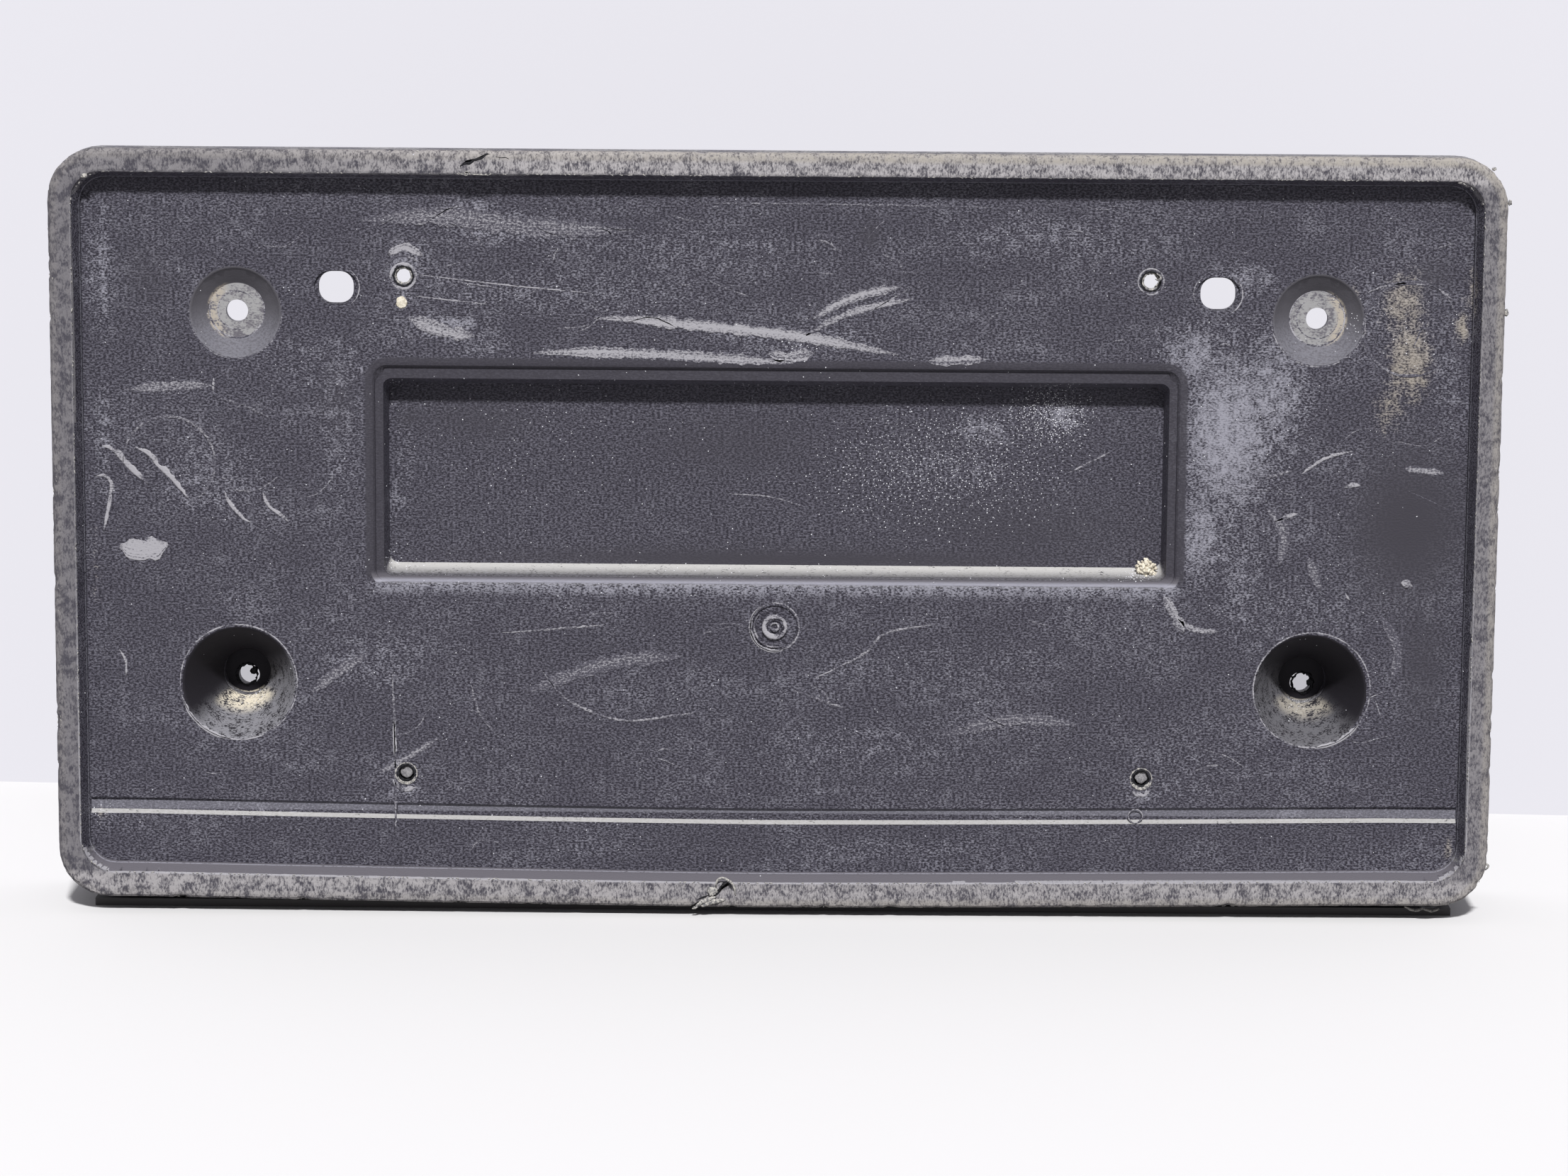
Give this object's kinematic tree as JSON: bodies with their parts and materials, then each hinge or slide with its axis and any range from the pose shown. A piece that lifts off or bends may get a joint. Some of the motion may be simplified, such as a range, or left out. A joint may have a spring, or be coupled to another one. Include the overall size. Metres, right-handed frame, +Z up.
{
  "type": "number plate holder",
  "caption": "Wedge-shaped moulded plastic holder that carries a number plate on a car's front bumper, with a raised rim, sunk screw cones and a shallow centre recess.",
  "frame": {"origin": "centre of the four small plate holes, on the face that the plate lies on", "axes": "+X to the right seen from the front, +Z up, -Y out of the front towards the viewer"},
  "size_m": [0.3456, 0.0365, 0.181],
  "materials": {
    "holder_plastic": "dark grey moulded plastic, scuffed and dusty"
  },
  "bodies": {
    "root": {"plate_holder": "holder_plastic"}
  },
  "joints": []
}
